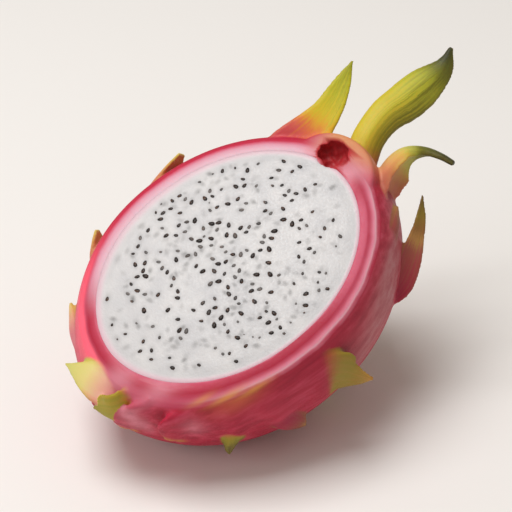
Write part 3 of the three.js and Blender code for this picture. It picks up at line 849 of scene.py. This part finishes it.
FLESH_CROWN = 1.5
FLESH_OVERLAP = 1.0
FLESH_RINGS = ((0, FACE_LIP - 0.4), (0.5, FACE_LIP + 0.03), (1, FACE_LIP + 0.13),
               (2, FACE_LIP + 0.2), (5, FACE_LIP + 0.4 * FLESH_CROWN),
               (15, FACE_LIP + 0.8 * FLESH_CROWN), (28, FACE_LIP + FLESH_CROWN))
FLESH_VOXEL = 0.5
BLUSH_WIDTH = 2.2
BLUSH_WIDER = 1.3
BLUSH_WIDEST_AT = radians(110)

# Seeds crowd towards the middle, keep apart from each other and stand on the crowned face. Each has
# a faint grey halo, and deeper ones are only specks.
FLESH_HEIGHTS = np.array([(0, FACE_LIP), *FLESH_RINGS[-3:]])
SEED_TRIES = 2600
SEED_COUNT = 220
SEED_SPACING = 2.1
SEED_MARGIN = 3
SEED_CROWDING = 0.62
SEED_EDGE_GAP = 0.3
HALO_DARKNESS = 0.22
HALO_SPREAD = 1.5
DEEP_SEEDS = 250
DEEP_CROWDING = 0.6
SPECK_LENGTH = 1.1
SPECK_WIDTH = 0.7
SPECK_SHARPNESS = 1.3


def random_stream(seed):
    """A repeatable stream of random numbers between 0 and 1."""
    factor, step, most = 1664525, 1013904223, 2 ** 32
    state = seed
    while True:
        state = (state * factor + step) % most
        yield state / most


def flesh_edge(turn):
    """Distance from the middle of the cut to just inside the flesh's edge."""
    return reach(np.array([[cos(turn), sin(turn), 0.0]]), RIND_THICKNESS + SEED_EDGE_GAP)[0]


def scattered_seeds():
    """Seeds at random angles in the cut face, closer together towards its middle."""
    draw = random_stream(seed=7)
    seeds = []
    for _ in range(SEED_TRIES):
        if len(seeds) == SEED_COUNT:
            break
        turn = next(draw) * 2 * pi
        edge = flesh_edge(turn)
        out = next(draw) ** SEED_CROWDING * (edge - SEED_MARGIN)
        x, y = cos(turn) * out, sin(turn) * out
        navel_room = NAVEL[1][0] + SEED_MARGIN + NAVEL_WALL
        in_navel = hypot(x - NAVEL[0][0], y - NAVEL[0][1]) < navel_room
        if in_navel or any(hypot(seed[0] - x, seed[1] - y) < SEED_SPACING for seed in seeds):
            continue
        size = 0.85 + 0.3 * next(draw)
        spin = next(draw) * pi
        seeds.append((x, y, np.interp(edge - out, *FLESH_HEIGHTS.T), size, spin))
    return seeds


def deep_specks():
    """Seeds below the surface: place, size, direction and how dark they show."""
    draw = random_stream(seed=19)
    specks = []
    for _ in range(DEEP_SEEDS):
        turn = next(draw) * 2 * pi
        out = next(draw) ** DEEP_CROWDING * (flesh_edge(turn) - SEED_MARGIN)
        specks.append((cos(turn) * out, sin(turn) * out, 0.8 + 0.5 * next(draw), next(draw) * pi,
                       0.15 + 0.5 * next(draw) ** 2))
    return specks


def speck_shade(places, specks, spread):
    """How dark the flesh shows over the specks."""
    shade = np.zeros(len(places))
    for x, y, size, spin, dark in specks:
        east, north = places[:, 0] - x, places[:, 1] - y
        along = (east * cos(spin) + north * sin(spin)) / (SPECK_LENGTH * size * spread)
        across = (north * cos(spin) - east * sin(spin)) / (SPECK_WIDTH * size * spread)
        shade = np.maximum(shade, dark * np.exp(-(along ** 2 + across ** 2) ** SPECK_SHARPNESS))
    return np.where(places[:, 2] > 0, shade, 0)


def flesh_finish():
    """White translucent pulp with a pink blush at its edge and grey specks."""
    finish, tree, shader = new_finish("dragon fruit flesh")
    place = place_of(tree)
    clouds = speckle(tree, place, 0.12, 3.0)
    pulp = colours_along(tree, clouds, [(0.3, "#c3c1c3"), (0.7, "#d2cfcf")])
    blush = colours_along(tree, stored(tree, "inwards"), [(0.0, "#dab8c2"), (0.3, "#dbc3ca"),
                                                         (0.6, "#d9cdd1"), (1.0, "#d8d3d5")])
    near_edge = between(tree, stored(tree, "inwards"), 0.0, 1.0, 0.95, 0)
    colour = mixed(tree, near_edge, pulp, blush)
    colour = mixed(tree, stored(tree, "speck"), colour, paint("#4a4644"))
    tree.links.new(colour, shader.inputs["Base Color"])
    grain = speckle(tree, place, 1.3, 4.0)
    bump = node(tree, "Bump", {}, {"Height": grain, "Strength": 0.3, "Distance": 0.0003})
    tree.links.new(bump.outputs["Normal"], shader.inputs["Normal"])
    tree.links.new(between(tree, grain, 0.3, 0.7, 0.3, 0.5), shader.inputs["Roughness"])
    shader.inputs["Specular IOR Level"].default_value = 0.35
    glow_inside(shader, 0.35, (1.0, 0.9, 0.85), 0.0025)
    return finish


seeds = scattered_seeds()
flesh = cut_body(inset=RIND_THICKNESS - FLESH_OVERLAP, columns=160, rows=24, droop=0, rings=FLESH_RINGS)
flesh = cut_away("flesh", flesh, [ellipsoid(*NAVEL, grow=NAVEL_WALL - FLESH_OVERLAP)])
flesh = grown_together("flesh", flesh, FLESH_VOXEL)
soften(flesh, 2)
flesh = thinned("flesh", flesh, below=-EDGE_DROOP)
places = np.array([vert.co for vert in flesh.verts])
turns, ways, out = round_the_cut(places)
blush_width = BLUSH_WIDTH + BLUSH_WIDER * np.cos(turns - BLUSH_WIDEST_AT)
inwards = np.clip((reach(ways, RIND_THICKNESS) - out) / blush_width, 0, 1)
halos = [(x, y, size, spin, HALO_DARKNESS) for x, y, _, size, spin in seeds]
shade = np.maximum(speck_shade(places, deep_specks(), 1.0), speck_shade(places, halos, HALO_SPREAD))
flesh_pulp = set_down("flesh_pulp", flesh, flesh_finish())
keep_values(flesh_pulp, place=places, inwards=inwards, speck=shade)
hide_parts("flesh")
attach(flesh_pulp, "root")

# ------------------------------------------------------------------------------------------------
# The seeds: small glossy black-brown drops, narrower at one end, that the knife has left flush in
# the flesh. Some sit deeper and show greyer.

SEED_SHAPE = (1.2, 0.78, 0.46)
SEED_NARROWING = 0.25
SEED_DEPTH = 0.2
GREY_SEED_DEPTH = 0.25
MOST_GREY = 0.4


def seed_finish():
    """Glossy dark seed coat, greyed where pulp lies over it."""
    finish, tree, shader = new_finish("dragon fruit seed")
    place = place_of(tree)
    tone = speckle(tree, place, 0.9, 1.0)
    coat = colours_along(tree, tone, [(0.35, "#17100d"), (0.55, "#2c1e18"), (0.72, "#573c2d")])
    colour = mixed(tree, stored(tree, "sunk"), coat, paint("#8f8a88"))
    tree.links.new(colour, shader.inputs["Base Color"])
    shader.inputs["Roughness"].default_value = 0.4
    shader.inputs["Specular IOR Level"].default_value = 0.3
    return finish


seed_shapes = bmesh.new()
sunk = seed_shapes.verts.layers.float.new("sunk")
draw = random_stream(seed=31)
for x, y, z, size, spin in seeds:
    seed = bmesh.ops.create_uvsphere(seed_shapes, u_segments=8, v_segments=5, radius=1)["verts"]
    greyness = min(max(1.2 * next(draw) - 0.6, 0), MOST_GREY)
    for vert in seed:
        narrow = 1 - SEED_NARROWING * vert.co.x
        vert.co.y *= narrow
        vert.co.z *= narrow
        vert[sunk] = greyness
    stretch = [part * size for part in SEED_SHAPE]
    middle = (x, y, z - SEED_DEPTH - GREY_SEED_DEPTH * greyness)
    place = Matrix.LocRotScale(middle, Matrix.Rotation(spin, 3, "Z"), stretch)
    bmesh.ops.transform(seed_shapes, matrix=place, verts=seed)
places = np.array([vert.co for vert in seed_shapes.verts])
seed_piece = set_down("seeds", seed_shapes, seed_finish())
keep_values(seed_piece, place=places)
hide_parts("flesh")
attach(seed_piece, "root")
